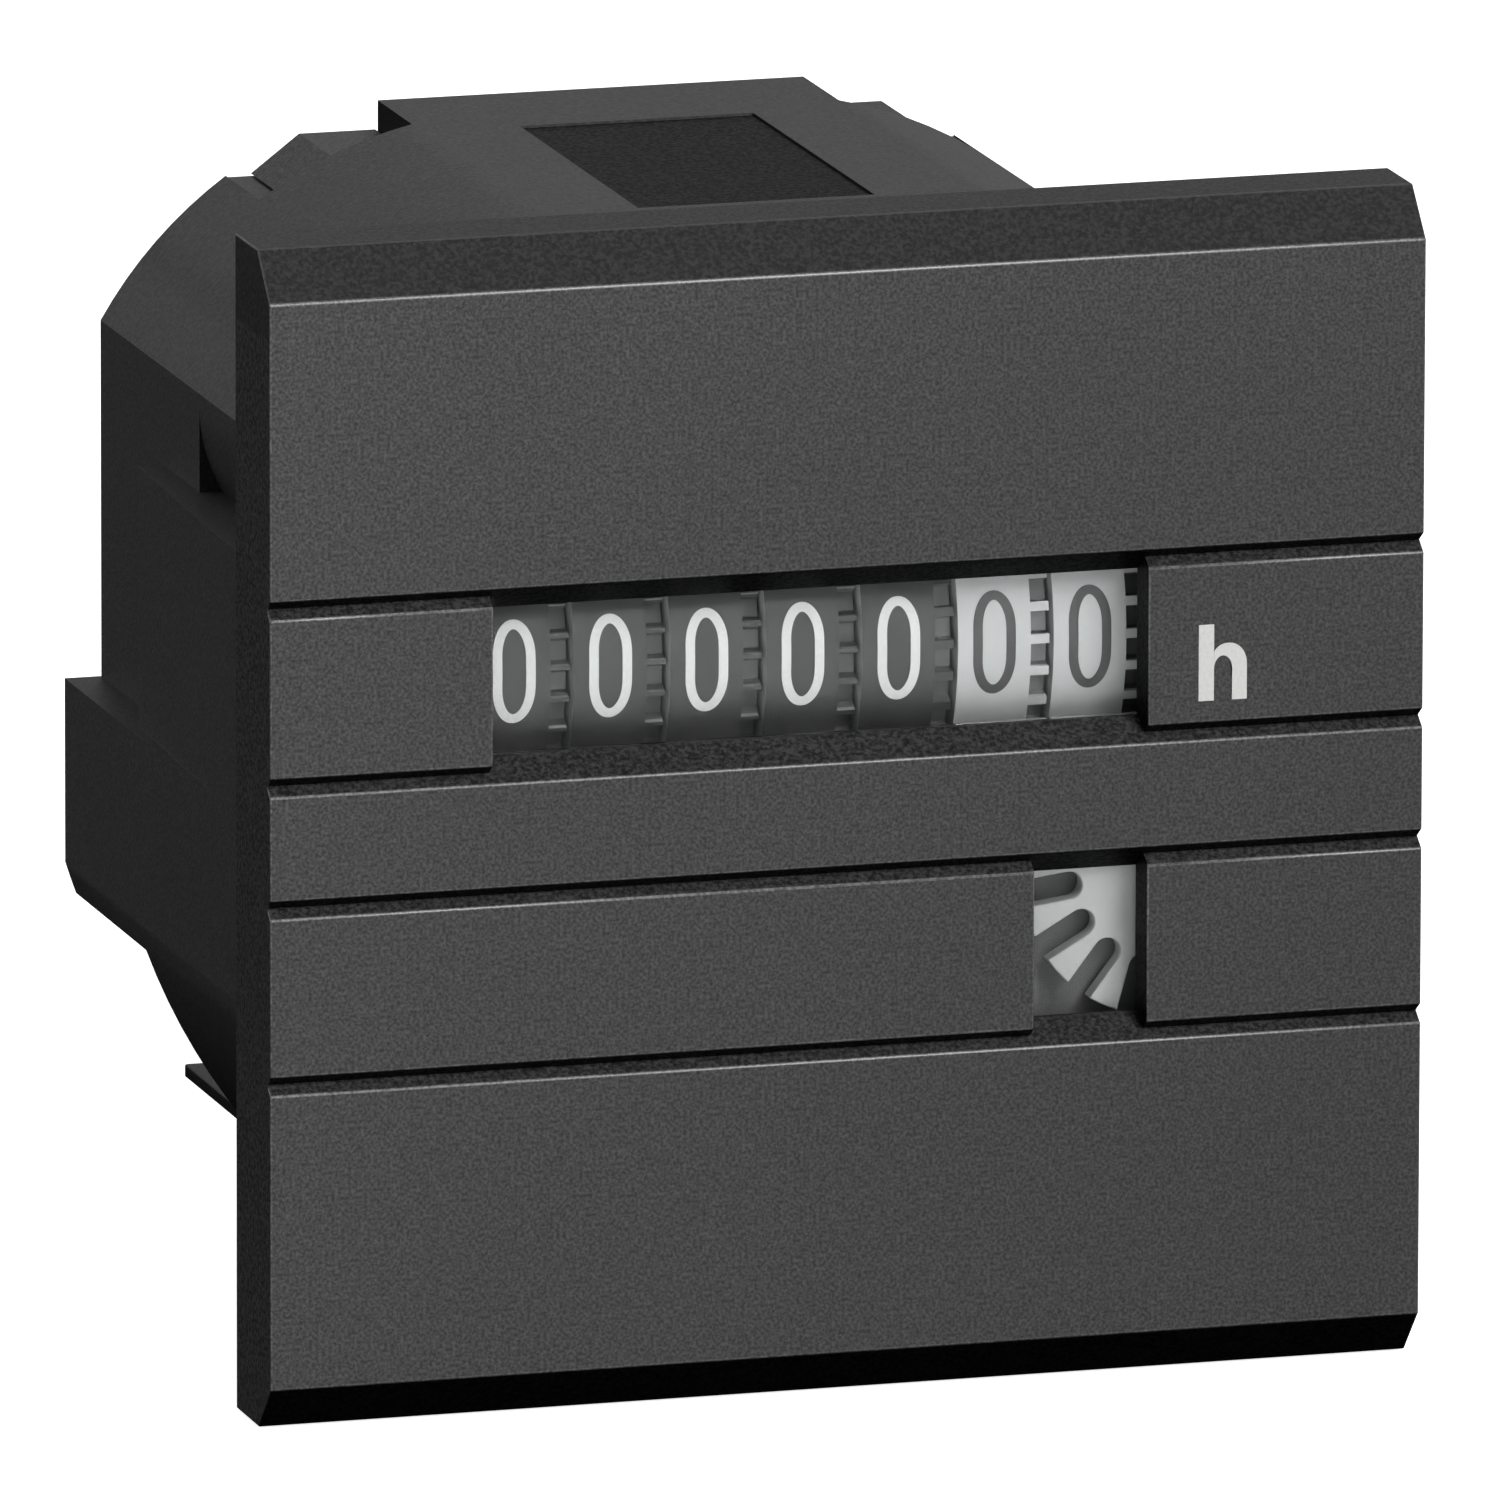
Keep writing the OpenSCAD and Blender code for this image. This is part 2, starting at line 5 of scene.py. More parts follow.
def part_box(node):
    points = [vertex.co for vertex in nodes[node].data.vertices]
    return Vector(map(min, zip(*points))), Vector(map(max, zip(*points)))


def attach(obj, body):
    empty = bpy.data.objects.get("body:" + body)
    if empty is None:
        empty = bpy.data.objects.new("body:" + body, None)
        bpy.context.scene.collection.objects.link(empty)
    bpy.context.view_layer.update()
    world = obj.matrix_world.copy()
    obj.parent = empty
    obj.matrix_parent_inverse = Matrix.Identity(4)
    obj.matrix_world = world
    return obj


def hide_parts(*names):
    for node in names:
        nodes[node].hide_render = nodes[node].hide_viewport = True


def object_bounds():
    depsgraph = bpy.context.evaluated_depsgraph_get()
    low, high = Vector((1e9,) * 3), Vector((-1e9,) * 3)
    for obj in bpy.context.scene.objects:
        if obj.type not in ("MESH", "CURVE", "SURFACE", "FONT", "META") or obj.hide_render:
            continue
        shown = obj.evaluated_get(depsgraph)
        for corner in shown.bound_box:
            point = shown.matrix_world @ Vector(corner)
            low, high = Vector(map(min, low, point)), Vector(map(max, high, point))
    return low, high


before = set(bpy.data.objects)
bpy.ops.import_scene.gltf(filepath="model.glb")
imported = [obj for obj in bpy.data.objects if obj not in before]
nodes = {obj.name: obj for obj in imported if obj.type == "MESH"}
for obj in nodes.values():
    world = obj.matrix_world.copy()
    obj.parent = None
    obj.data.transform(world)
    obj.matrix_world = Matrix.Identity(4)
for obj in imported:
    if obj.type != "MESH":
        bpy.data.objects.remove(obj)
CAD_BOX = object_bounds()
MM = 0.001

# ---------------------------------------------------------------- places, from the CAD
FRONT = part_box("front_bezel")[0][1]                  # y of the front face
w4lo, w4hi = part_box("number_wheel_4")
DRUM_R = (w4hi[2] - w4lo[2]) / 2
DRUM_Y = (w4lo[1] + w4hi[1]) / 2
DRUM_Z = (w4lo[2] + w4hi[2]) / 2
FACE_W = 3.04 * MM                                   # printed face of a wheel, left of its ring
FACE_X = {k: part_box("number_wheel_%d" % k)[0][0] + FACE_W / 2 for k in range(1, 8)}   # middles of the faces
BODY_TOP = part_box("housing")[1][2]
PLATE_BEVEL_Z = 20.6 * MM                            # the plate's top bevel lies above this
LAST_DARK_WHEEL = 5


# ---------------------------------------------------------------- small node helpers
class Tree:
    """A Principled material and short calls for the nodes that feed it, in object coordinates."""

    def __init__(self, name):
        self.m = bpy.data.materials.new(name)
        self.m.use_nodes = True
        self.t = self.m.node_tree
        self.b = self.t.nodes["Principled BSDF"]
        self.obj = self.add("ShaderNodeTexCoord").outputs["Object"]

    def add(self, kind, **props):
        n = self.t.nodes.new(kind)
        for k, v in props.items():
            setattr(n, k, v)
        return n

    def link(self, a, b):
        self.t.links.new(a, b)

    def noise(self, scale, detail=2.0, rough=0.5, vec=None, stretch=None):
        n = self.add("ShaderNodeTexNoise")
        n.inputs["Scale"].default_value = scale
        n.inputs["Detail"].default_value = detail
        n.inputs["Roughness"].default_value = rough
        src = vec or self.obj
        if stretch:
            mp = self.add("ShaderNodeMapping")
            mp.inputs["Scale"].default_value = stretch
            self.link(src, mp.inputs["Vector"])
            src = mp.outputs["Vector"]
        self.link(src, n.inputs["Vector"])
        return n.outputs["Fac"]

    def ramp(self, fac, stops):
        r = self.add("ShaderNodeValToRGB")
        e = r.color_ramp.elements
        while len(e) < len(stops):
            e.new(0.5)
        for el, (p, c) in zip(e, stops):
            el.position = p
            el.color = (*c, 1) if isinstance(c, tuple) else (c, c, c, 1)
        self.link(fac, r.inputs["Fac"])
        return r.outputs["Color"]

    def math(self, op, a, b=None, clamp=False):
        n = self.add("ShaderNodeMath", operation=op, use_clamp=clamp)
        for i, v in enumerate((a, b)):
            if v is None:
                continue
            if isinstance(v, (int, float)):
                n.inputs[i].default_value = v
            else:
                self.link(v, n.inputs[i])
        return n.outputs[0]

    def mix(self, fac, a, b, blend="MIX"):
        n = self.add("ShaderNodeMix", data_type="RGBA", blend_type=blend)
        for s, v in ((n.inputs[0], fac), (n.inputs[6], a), (n.inputs[7], b)):
            if isinstance(v, (int, float)):
                s.default_value = v
            elif isinstance(v, tuple):
                s.default_value = (*v, 1)
            else:
                self.link(v, s)
        return n.outputs[2]

    def bump(self, height, strength, distance):
        n = self.add("ShaderNodeBump")
        n.inputs["Strength"].default_value = strength
        n.inputs["Distance"].default_value = distance
        self.link(height, n.inputs["Height"])
        self.link(n.outputs["Normal"], self.b.inputs["Normal"])

    def split(self, vec=None):
        n = self.add("ShaderNodeSeparateXYZ")
        self.link(vec or self.obj, n.inputs[0])
        return n.outputs

    def set(self, **kv):
        for k, v in kv.items():
            s = self.b.inputs[k.replace("_", " ")]
            if isinstance(v, (int, float)):
                s.default_value = v
            elif isinstance(v, tuple):
                s.default_value = (*v, 1)
            else:
                self.link(v, s)
        return self


def step(t, x, at, width):
    """0 below at, 1 above it, with a soft edge."""
    return t.math("DIVIDE", t.math("SUBTRACT", x, at - width / 2), width, clamp=True)


# ---------------------------------------------------------------- materials
def tint(c, k):
    return tuple(v * k for v in c)


def grey(v, blue=0.0):
    return v, v, v + blue


def case_plastic(name, front, back, coarse=1.0, edge=False, gloss=0.40):
    """Charcoal moulding: fine spark texture on the front face, a coarser one elsewhere."""
    t = Tree(name)
    x, y, z = t.split()
    behind = step(t, y, FRONT + 0.07 * MM, 0.04 * MM)
    fine = t.noise(7400, 2.0, 0.6)
    soft = t.noise(2300, 2.0, 0.5)
    big = t.noise(90, 2.0, 0.5)
    spark = t.noise(5200, 2.5, 0.70)
    f = t.ramp(fine, [(0.34, tint(front, 0.52)), (0.5, front), (0.64, tint(front, 1.55))])
    # painted light: the front face's colour is multiplied by a fade that is lighter towards the left and the
    # top
    fade = t.math("ADD", t.math("ADD", 1.02, t.math("MULTIPLY", x, -5.0)), t.math("MULTIPLY", z, 3.0))
    f = t.mix(1.0, f, t.ramp(t.math("MULTIPLY", fade, 0.5), [(0.0, 0.0), (1.0, 2.0)]), "MULTIPLY")
    c = t.ramp(spark, [(0.36, tint(back, 1 - 0.62 * coarse)), (0.5, back),
                       (0.64, tint(back, 1 + 1.1 * coarse))])
    col = t.mix(behind, f, c)
    col = t.mix(0.5, col, t.mix(1.0, col, t.ramp(soft, [(0.3, 0.82), (0.7, 1.18)]), "MULTIPLY"))
    col = t.mix(0.6, col, t.mix(1.0, col, t.ramp(big, [(0.3, 0.96), (0.7, 1.04)]), "MULTIPLY"))
    # painted shade: undersides and the side walls inside the windows are darkened, their colour multiplied by
    # 0.22 and their specular lowered
    nx, _, nz = t.split(t.add("ShaderNodeNewGeometry").outputs["Normal"])
    under = t.math("SUBTRACT", 1.0, step(t, nz, -0.45, 0.3))
    window_wall_shade = t.math("MULTIPLY", step(t, t.math("ABSOLUTE", nx), 0.8, 0.2),
                   t.math("SUBTRACT", 1.0, step(t, t.math("ABSOLUTE", x), 19 * MM, 1 * MM)))
    painted_shade = t.math("MAXIMUM", under, window_wall_shade)
    col = t.mix(painted_shade, col, t.mix(1.0, col, grey(0.22), "MULTIPLY"))
    speck = t.ramp(spark, [(0.40, 1 - 0.55 * coarse), (0.5, 1.0), (0.60, 1 + 0.55 * coarse)])
    # painted shade: the plate's top bevel is painted a little darker and less sparkling than the sills
    bevel = t.math("MULTIPLY", step(t, z, PLATE_BEVEL_Z, 0.2 * MM), t.math("LESS_THAN", y, -0.01 * MM))
    bevel = t.math("MULTIPLY", bevel, behind)
    speck = t.mix(t.math("MULTIPLY", bevel, 0.62), speck, grey(0.40))
    col = t.mix(bevel, col, t.mix(0.55, col, back))
    t.set(Base_Color=col, Roughness=t.math("ADD", 0.24 if edge else 0.44, t.math("MULTIPLY", fine, 0.20)))
    shine = t.math("MULTIPLY", t.mix(behind, (1, 1, 1), speck), 0.5 if edge else gloss)
    t.link(t.math("MULTIPLY", t.math("SUBTRACT", 1.0, t.math("MULTIPLY", painted_shade, 0.8)), shine),
           t.b.inputs["Specular IOR Level"])
    grain = t.math("MULTIPLY", t.math("MULTIPLY", spark, behind), 1.2)
    h = t.math("ADD", t.math("MULTIPLY", fine, 0.6), grain)
    t.bump(h, 0.10 if edge else 0.35, 0.03 * MM)
    return t.m


def moulded(name, base, dark, rough, grain=5200, bump=0.12, mottle=0.10):
    t = Tree(name)
    n = t.noise(grain, 3.0, 0.6)
    m = t.noise(400, 2.0, 0.5)
    col = t.ramp(n, [(0.25, dark), (0.55, base)])
    col = t.mix(1.0, col, t.ramp(m, [(0.3, 1 - mottle), (0.7, 1 + mottle * 0.6)]), "MULTIPLY")
    t.set(Base_Color=col, Roughness=t.math("ADD", rough - 0.06, t.math("MULTIPLY", n, 0.14)))
    t.bump(n, bump, 0.015 * MM)
    return t.m


def wheel_plastic(name, face, root, flank, land, side, rough=0.42):
    """Number wheel: face, tooth lands, tooth flanks and root of the ring, told apart by radius; the ring's
    tones and the lighter left-facing side walls are painted light and shade.
    """
    t = Tree(name)
    _, y, z = t.split()
    dy = t.math("SUBTRACT", y, DRUM_Y)
    dz = t.math("SUBTRACT", z, DRUM_Z)
    r = t.math("SQRT", t.math("ADD", t.math("MULTIPLY", dy, dy), t.math("MULTIPLY", dz, dz)))
    n = t.noise(4200, 3.0, 0.6)
    m = t.noise(350, 2.0, 0.5)
    g = [grey(v) for v in (root, flank, land, face)]
    # painted light and shade: tones by radius stand in for the light in the ring's gaps, the root offsetting
    # its shadow and the lands painted as bright lines
    col = t.mix(step(t, r, DRUM_R - 1.08 * MM, 0.10 * MM), g[0], g[1])
    col = t.mix(step(t, r, DRUM_R - 0.25 * MM, 0.04 * MM), col, g[2])
    col = t.mix(step(t, r, DRUM_R - 0.10 * MM, 0.04 * MM), col, g[3])
    # painted light: left-facing side walls get the side tone, lighter to offset their shade
    nx = t.split(t.add("ShaderNodeNewGeometry").outputs["Normal"])[0]
    col = t.mix(t.math("SUBTRACT", 1.0, step(t, nx, -0.8, 0.1)), col, grey(side))
    col = t.mix(1.0, col, t.ramp(n, [(0.3, 0.97), (0.7, 1.03)]), "MULTIPLY")
    col = t.mix(1.0, col, t.ramp(m, [(0.3, 0.985), (0.7, 1.012)]), "MULTIPLY")
    t.set(Base_Color=col, Roughness=t.math("ADD", rough - 0.05, t.math("MULTIPLY", n, 0.12)))
    t.bump(n, 0.05, 0.01 * MM)
    return t.m


def ink(name, color, rough=0.5):
    t = Tree(name)
    n = t.noise(7000, 3.0, 0.6)
    col = t.mix(1.0, color, t.ramp(n, [(0.3, 0.93), (0.7, 1.05)]), "MULTIPLY")
    t.set(Base_Color=col, Roughness=t.math("ADD", rough - 0.05, t.math("MULTIPLY", n, 0.12)))
    t.bump(n, 0.10, 0.008 * MM)
    return t.m


def metal(name, base, dark, rough, stretch=None, scale=1500, bump=0.10):
    """Brushed, turned or plated metal with streaks along one direction and light tarnish."""
    t = Tree(name)
    n = t.noise(scale, 4.0, 0.65, stretch=stretch or (1, 1, 1))
    m = t.noise(260, 3.0, 0.55)
    col = t.mix(t.ramp(m, [(0.42, 0.0), (0.75, 0.8)]), base, dark)
    col = t.mix(1.0, col, t.ramp(n, [(0.3, 0.9), (0.7, 1.06)]), "MULTIPLY")
    t.set(Base_Color=col, Metallic=1.0, Roughness=t.math("ADD", rough - 0.07, t.math("MULTIPLY", n, 0.18)))
    t.bump(n, bump, 0.01 * MM)
    return t.m


def clear(name):
    t = Tree(name)
    n = t.noise(300, 2.0, 0.5)
    t.set(Base_Color=(0.97, 0.985, 0.985), Roughness=t.math("MULTIPLY", n, 0.03))
    t.b.inputs["Transmission Weight"].default_value = 1.0
    t.b.inputs["IOR"].default_value = 1.12
    t.b.inputs["Specular IOR Level"].default_value = 0.3
    return t.m


def winding(name):
    """Enamelled wire wound round x: fine ridges along x."""
    t = Tree(name)
    w = t.add("ShaderNodeTexWave", wave_type="BANDS", bands_direction="X", wave_profile="SIN")
    w.inputs["Scale"].default_value = 1400
    w.inputs["Distortion"].default_value = 0.6
    w.inputs["Detail"].default_value = 1.0
    t.link(t.obj, w.inputs["Vector"])
    n = t.noise(1800, 3.0, 0.6)
    col = t.mix(w.outputs["Fac"], (0.17, 0.05, 0.018), (0.62, 0.26, 0.10))
    col = t.mix(0.3, col, t.mix(1.0, col, t.ramp(n, [(0.3, 0.7), (0.7, 1.2)]), "MULTIPLY"))
    t.set(Base_Color=col, Metallic=0.75, Roughness=t.math("ADD", 0.22, t.math("MULTIPLY", n, 0.2)))
    t.bump(w.outputs["Fac"], 0.6, 0.04 * MM)
    return t.m


def board(name):
    t = Tree(name)
    n = t.noise(900, 2.0, 0.5)
    v = t.add("ShaderNodeTexVoronoi", feature="F1", distance="CHEBYCHEV")
    v.inputs["Scale"].default_value = 420
    t.link(t.obj, v.inputs["Vector"])
    tracks = t.ramp(v.outputs["Distance"], [(0.30, 0.0), (0.36, 1.0)])
    col = t.mix(tracks, (0.018, 0.10, 0.035), (0.035, 0.17, 0.06))
    t.set(Base_Color=col, Roughness=t.math("ADD", 0.22, t.math("MULTIPLY", n, 0.15)))
    t.bump(tracks, 0.3, 0.03 * MM)
    return t.m


M = {
    "case": case_plastic("case_charcoal", grey(0.052, 0.0005), grey(0.015, 0.0002), 0.9),
    # painted highlight: lighter, glossier charcoal for the small edge radii
    "case_edge_highlight": case_plastic("case_charcoal_edge_highlight", grey(0.105), grey(0.045, 0.0002), 0.4, edge=True),
    "body": case_plastic("case_charcoal_body", grey(0.029, 0.0005), grey(0.029, 0.0005), 0.30),
    "cover": case_plastic("cover_charcoal", grey(0.034, 0.0005), grey(0.034, 0.0005), 0.45),
    "label": case_plastic("label_field_grain", grey(0.004), grey(0.004), 0.9, gloss=0.06),
    "screen": moulded("screen_dark", grey(0.10), grey(0.085), 0.6, mottle=0.03),
    # wheel tones: face, root, flank, land, side; root, flank, land and side are painted light and shade
    "dark_wheel": wheel_plastic("wheel_dark", 0.047, 0.090, 0.068, 0.230, 0.55),
    "wheel_5": wheel_plastic("wheel_dark_last", 0.047, 0.300, 0.130, 0.085, 0.55),
    "light_wheel": wheel_plastic("wheel_light", 0.50, 0.20, 0.17, 0.58, 0.50),
    "wheel_7": wheel_plastic("wheel_light_last", 0.50, 0.075, 0.07, 0.52, 0.50),
    "star": moulded("star_light", grey(0.42, -0.005), grey(0.39, -0.005), 0.40, mottle=0.03),
    "white_ink": ink("ink_white", (0.68, 0.68, 0.67)),
    "dark_ink": ink("ink_dark", grey(0.060)),
    "glass": clear("window_clear"),
    "acetal": moulded("acetal_natural", (0.70, 0.68, 0.62), (0.60, 0.58, 0.52), 0.36),
    "tinned": metal("tinned_brass", (0.78, 0.77, 0.73), (0.56, 0.54, 0.48), 0.30, (1, 0.12, 1), 2600),
    "steel": metal("steel_turned", (0.62, 0.62, 0.64), (0.40, 0.39, 0.38), 0.26, (0.1, 1, 1), 3000),
    "brass": metal("brass_turned", (0.76, 0.58, 0.27), (0.50, 0.35, 0.15), 0.27, (1, 0.1, 1), 3200),
    "plate": metal("brass_plate", (0.70, 0.54, 0.27), (0.48, 0.36, 0.18), 0.36, (0.08, 1, 1), 2400),
    "magnet": moulded("magnet_ground", (0.09, 0.09, 0.10), (0.05, 0.05, 0.055), 0.38, 3800, 0.25),
    "core": metal("core_steel", (0.42, 0.43, 0.45), (0.26, 0.25, 0.25), 0.42, (1, 6, 1), 1500, 0.2),
    "copper": winding("coil_wire"),
    "board": board("board_green"),
    "can": metal("can_nickel", (0.76, 0.76, 0.75), (0.6, 0.6, 0.58), 0.16, (0.1, 1, 1), 1800, 0.05),
    "chip": moulded("chip_epoxy", (0.030, 0.030, 0.032), (0.016, 0.016, 0.017), 0.5, 6000, 0.3),
    "sleeve": moulded("capacitor_sleeve", (0.04, 0.07, 0.20), (0.03, 0.05, 0.15), 0.25),
    "resistor": moulded("resistor_lacquer", (0.58, 0.43, 0.25), (0.46, 0.32, 0.17), 0.28),
}

FINISH = {
    "case": ["front_bezel"], "body": ["housing", "terminal_shelf"], "cover": ["rear_cover"],
    "screen": ["indicator_screen"], "glass": ["register_lens", "indicator_lens"],
    "dark_wheel": ["number_wheel_%d" % k for k in (1, 2, 3, 4)], "wheel_5": ["number_wheel_5"],
    "light_wheel": ["number_wheel_6"], "wheel_7": ["number_wheel_7"], "star": ["star_wheel"],
    "acetal": ["carry_pinion_%d" % k for k in range(1, 7)] + ["coil_bobbin"],
    "tinned": ["terminal_left", "terminal_right"],
    "steel": ["wheel_shaft", "pinion_shaft", "plate_pillars", "pillar_screws", "chassis_screws",
              "chassis_posts", "motor_posts", "motor_screws", "rotor_arbor"],
    "brass": ["indicator_arbor", "middle_arbor", "crown_arbor"],
    "plate": ["left_arm", "right_arm", "front_plate", "back_plate", "motor_bridge"],
    "magnet": ["rotor_magnet"], "core": ["stator"], "copper": ["coil_winding"], "board": ["circuit_board"],
    "can": ["quartz_crystal"], "chip": ["driver_chip"], "sleeve": ["reservoir_capacitor"],
    "resistor": ["dropper_resistors"],
}


def finish_node(o, m):
    if not o.material_slots:
        o.data.materials.append(m)
    for s in o.material_slots:
        s.material = m


for key, names in FINISH.items():
    for n in names:
        finish_node(nodes[n], M[key])


def soften(node, width, segments=2, angle=28):
    """Small moulded radii on the sharp edges of a CAD node."""
    o = nodes[node]
    w = o.modifiers.new("weld", "WELD")
    w.merge_threshold = 2e-6
    d = o.modifiers.new("flat", "DECIMATE")
    d.decimate_type = "DISSOLVE"
    d.angle_limit = math.radians(0.4)
    b = o.modifiers.new("edges", "BEVEL")
    b.width = width
    b.segments = segments
    b.limit_method = "ANGLE"
    b.angle_limit = math.radians(angle)
    b.use_clamp_overlap = True
    n = o.modifiers.new("normals", "WEIGHTED_NORMAL")
    n.weight = 100
    n.keep_sharp = False


soften("housing", 0.12 * MM)
soften("rear_cover", 0.10 * MM)
soften("star_wheel", 0.07 * MM)
soften("terminal_shelf", 0.08 * MM)
for n in ("terminal_left", "terminal_right"):
    soften(n, 0.08 * MM)


# ---------------------------------------------------------------- mesh helpers
def piece(name, bm, m, body, smooth=True):
    bmesh.ops.recalc_face_normals(bm, faces=bm.faces)
    me = bpy.data.meshes.new(name)
    bm.to_mesh(me)
    bm.free()
    for p in me.polygons:
        p.use_smooth = smooth
    o = bpy.data.objects.new(name, me)
    bpy.context.scene.collection.objects.link(o)
    me.materials.append(m)
    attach(o, body)
    return o


HIGHLIGHT_EDGE_R = 0.065 * MM                                  # radius of the rounded edges that carry the painted highlight
OUTLINE = 23.5 * MM                                   # the plate's outline lies beyond this, in x or in z


def bezel_with_edge_highlights():
    """The front bezel with small radii on the plate's outline and front edges, which carry a painted
    highlight: a lighter, glossier charcoal.
    """
    bm = bmesh.new()
    bm.from_mesh(nodes["front_bezel"].data)
    bmesh.ops.remove_doubles(bm, verts=bm.verts, dist=3e-6)
    bmesh.ops.dissolve_limit(bm, angle_limit=math.radians(0.4), verts=bm.verts, edges=bm.edges)
    edges = []
    for e in bm.edges:
        if len(e.link_faces) != 2 or e.calc_face_angle() < math.radians(20) or not e.is_convex:
            continue
        if all(max(abs(v.co.x), abs(v.co.z)) > OUTLINE or v.co.y < FRONT + 0.05 * MM for v in e.verts):
            edges.append(e)
    for f in bm.faces:
        f.material_index = 0
    bmesh.ops.bevel(bm, geom=edges, offset=HIGHLIGHT_EDGE_R, offset_type="OFFSET", segments=3, profile=0.5,
                    affect="EDGES", clamp_overlap=False, loop_slide=True, material=1)
    highlit = [f.material_index == 1 for f in bm.faces]
    o = piece("bezel_shell", bm, M["case"], "case", smooth=False)
    o.data.materials.append(M["case_edge_highlight"])
    for p, w in zip(o.data.polygons, highlit):
        p.use_smooth = w
        p.material_index = int(w)
    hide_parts("front_bezel")


bezel_with_edge_highlights()


def arc(cx, cy, rx, ry, a0, a1, n=14):
    return [(cx + rx * math.cos(math.radians(a0 + (a1 - a0) * i / n)),
             cy + ry * math.sin(math.radians(a0 + (a1 - a0) * i / n))) for i in range(n + 1)]


def ring(cy, rx, ry, n=28):
    """A closed oval on the digit's middle line."""
    return arc(0, cy, rx, ry, 0, 360, n), True


def line(*pts):
    return list(pts), False


# digit centre lines in mm: half width, half height, and the noughts' taller half height
W, H, ZERO_H = 0.69, 1.81, 1.94
ZERO_END = 1.30                                       # half height of the nought's round ends
DIGITS = {
    0: [(arc(0, ZERO_H - ZERO_END, W, ZERO_END, 0, 180, 20)
         + arc(0, ZERO_END - ZERO_H, W, ZERO_END, 180, 360, 20), True)],
    1: [line((-W * 0.75, H * 0.60), (-W * 0.2, H * 0.76), (W * 0.1, H - 0.1)),
        line((W * 0.1, H - 0.1), (W * 0.1, -H))],
    2: [line(*arc(0, H - 0.82, W, 0.82, 165, -28), (-W * 0.55, -H * 0.50), (-W, -H)),
        line((-W, -H), (W, -H))],
    3: [line(*arc(0, H - 0.88, W * 0.96, 0.88, 155, -90)), line(*arc(0, 1.02 - H, W, 1.06, 90, -155))],
    4: [line((W * 0.35, -H), (W * 0.35, H), (-W, -H * 0.42)), line((-W, -H * 0.42), (W * 1.05, -H * 0.42))],
    5: [line((W * 0.85, H), (-W * 0.75, H), (-W * 0.88, H * 0.08)),
        line(*arc(0, 1.12 - H, W, 1.12, 140, -152))],
    6: [ring(1.08 - H, W, 1.08), line(*arc(0, H - 1.5, W, 1.5, 40, 180), (-W, 1.08 - H))],
    7: [line((-W, H), (W, H)), line((W, H), (W * 0.15, H * 0.05), (-W * 0.3, -H))],
    8: [ring(H - 0.90, W * 0.90, 0.90), ring(1.025 - H, W, 1.025)],
    9: [ring(H - 1.08, W, 1.08), line(*arc(0, 1.5 - H, W, 1.5, 220, 360), (W, H - 1.08))],
}
STROKE = 0.195                                        # half width of a printed line
LIFT, LIFT_STEP, SINK = 0.020, 0.003, 0.03            # ink over and under the surface, per crossing line
TURN_OFF = math.radians(0.3)                          # the printing stands a little off the teeth


def resample(pts, closed, pitch=0.12):
    if closed:
        pts = pts + [pts[0]]
    out = [pts[0]]
    for a, b in zip(pts, pts[1:]):
        d = math.dist(a, b)
        if d < 1e-6:
            continue
        n = max(1, int(math.ceil(d / pitch)))
        out += [(a[0] + (b[0] - a[0]) * i / n, a[1] + (b[1] - a[1]) * i / n) for i in range(1, n + 1)]
    if closed:
        out.pop()
    return out


def stroke(bm, pts, closed, half, place, lift, sink):
    """A printed stroke: raised band with rounded ends, mapped on a surface by place(u, v, height)."""
    pts = resample(pts, closed)
    n = len(pts)
    L, R = [], []
    for i, p in enumerate(pts):
        a = pts[i - 1] if (closed or i) else p
        b = pts[(i + 1) % n] if (closed or i < n - 1) else p
        t = Vector((b[0] - a[0], b[1] - a[1])).normalized()
        nx, ny = -t.y, t.x
        L.append((p[0] + nx * half, p[1] + ny * half))
        R.append((p[0] - nx * half, p[1] - ny * half))
    def v(q, h):
        return bm.verts.new(place(q[0], q[1], h))
    top = [(v(l, lift), v(r, lift)) for l, r in zip(L, R)]
    low = [(v(l, -sink), v(r, -sink)) for l, r in zip(L, R)]
    for i in range(n if closed else n - 1):
        j = (i + 1) % n
        bm.faces.new((top[i][0], top[j][0], top[j][1], top[i][1]))
        bm.faces.new((low[i][0], low[i][1], low[j][1], low[j][0]))
        bm.faces.new((top[i][0], low[i][0], low[j][0], top[j][0]))
        bm.faces.new((top[i][1], top[j][1], low[j][1], low[i][1]))
    if closed:
        return
    for i, other in ((0, 1), (n - 1, n - 2)):
        c, o = pts[i], pts[other]
        base = math.atan2(c[1] - o[1], c[0] - o[0])
        k = 8
        rim = [(c[0] + half * math.cos(base + math.pi / 2 * (1 - 2 * s / k)),
                c[1] + half * math.sin(base + math.pi / 2 * (1 - 2 * s / k))) for s in range(1, k)]
        a_t, b_t = (top[i][0], top[i][1]) if i else (top[i][1], top[i][0])
        a_l, b_l = (low[i][0], low[i][1]) if i else (low[i][1], low[i][0])
        t_ring = [a_t] + [v(q, lift) for q in rim] + [b_t]
        l_ring = [a_l] + [v(q, -sink) for q in rim] + [b_l]
        ct, cl = v(c, lift), v(c, -sink)
        for s in range(len(t_ring) - 1):
            bm.faces.new((ct, t_ring[s], t_ring[s + 1]))
            bm.faces.new((cl, l_ring[s + 1], l_ring[s]))
            bm.faces.new((t_ring[s], l_ring[s], l_ring[s + 1], t_ring[s + 1]))


